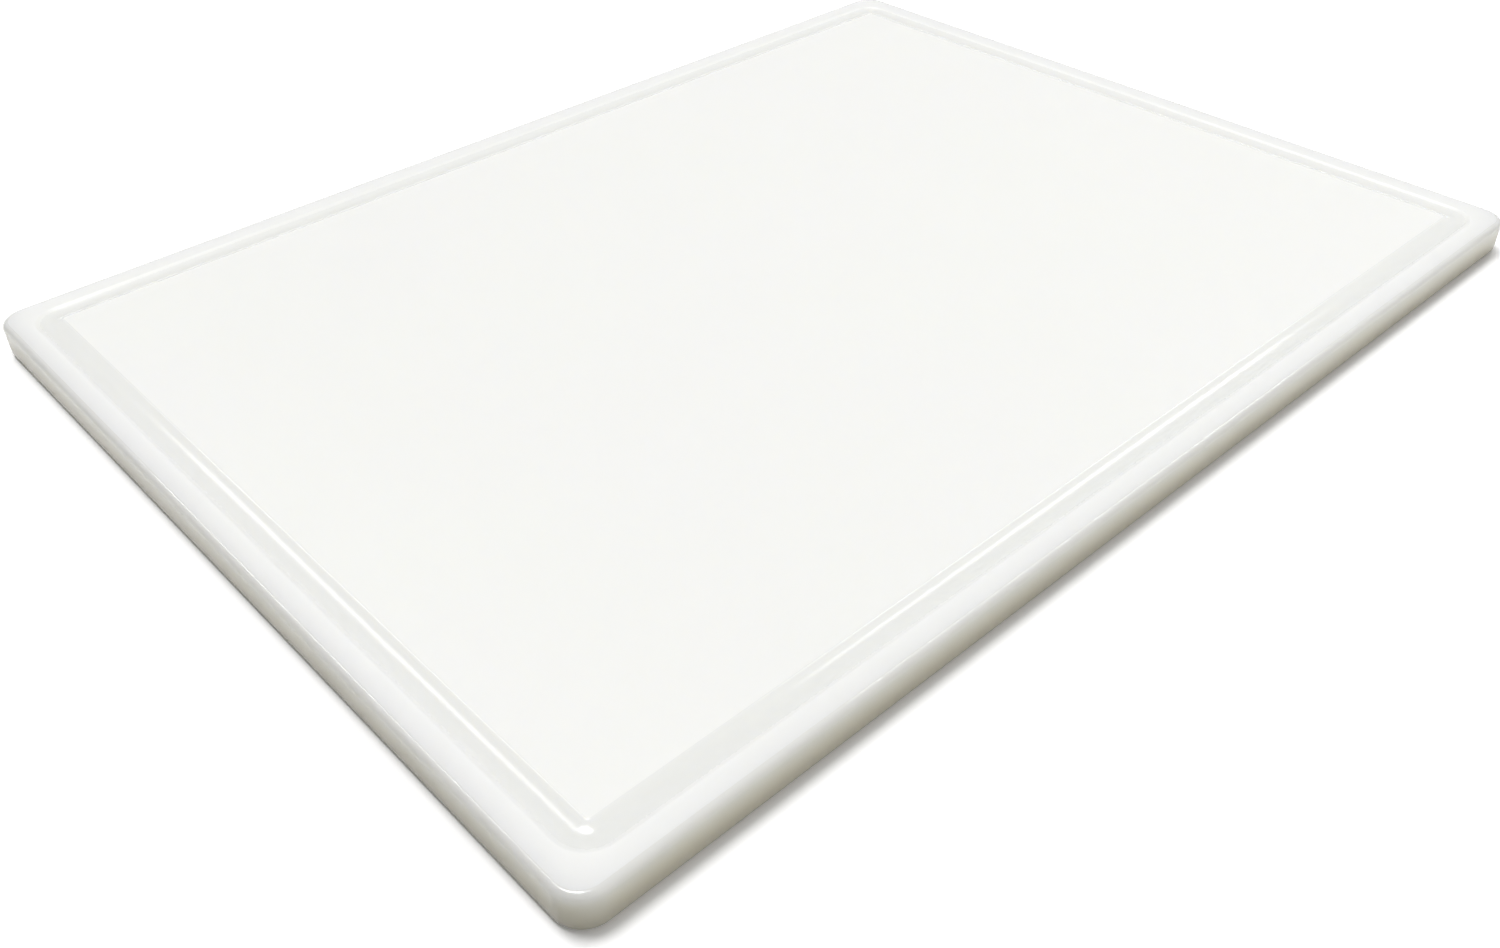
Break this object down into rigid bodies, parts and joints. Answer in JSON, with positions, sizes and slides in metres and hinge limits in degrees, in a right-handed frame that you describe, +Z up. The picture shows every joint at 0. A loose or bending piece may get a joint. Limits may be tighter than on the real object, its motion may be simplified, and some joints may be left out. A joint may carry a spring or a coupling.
{
  "type": "cutting board",
  "caption": "Rectangular white plastic cutting board with round corners, eased edges and a shallow juice groove round its top face.",
  "frame": {"origin": "centre of the underside, on the surface that the board lies on", "axes": "+X along the length, +Y along the width, +Z up out of the cutting face"},
  "size_m": [0.6096, 0.4572, 0.0175],
  "materials": {
    "white_polyethylene": "fine satin, slightly translucent"
  },
  "bodies": {
    "root": {"board": "white_polyethylene"}
  },
  "joints": []
}
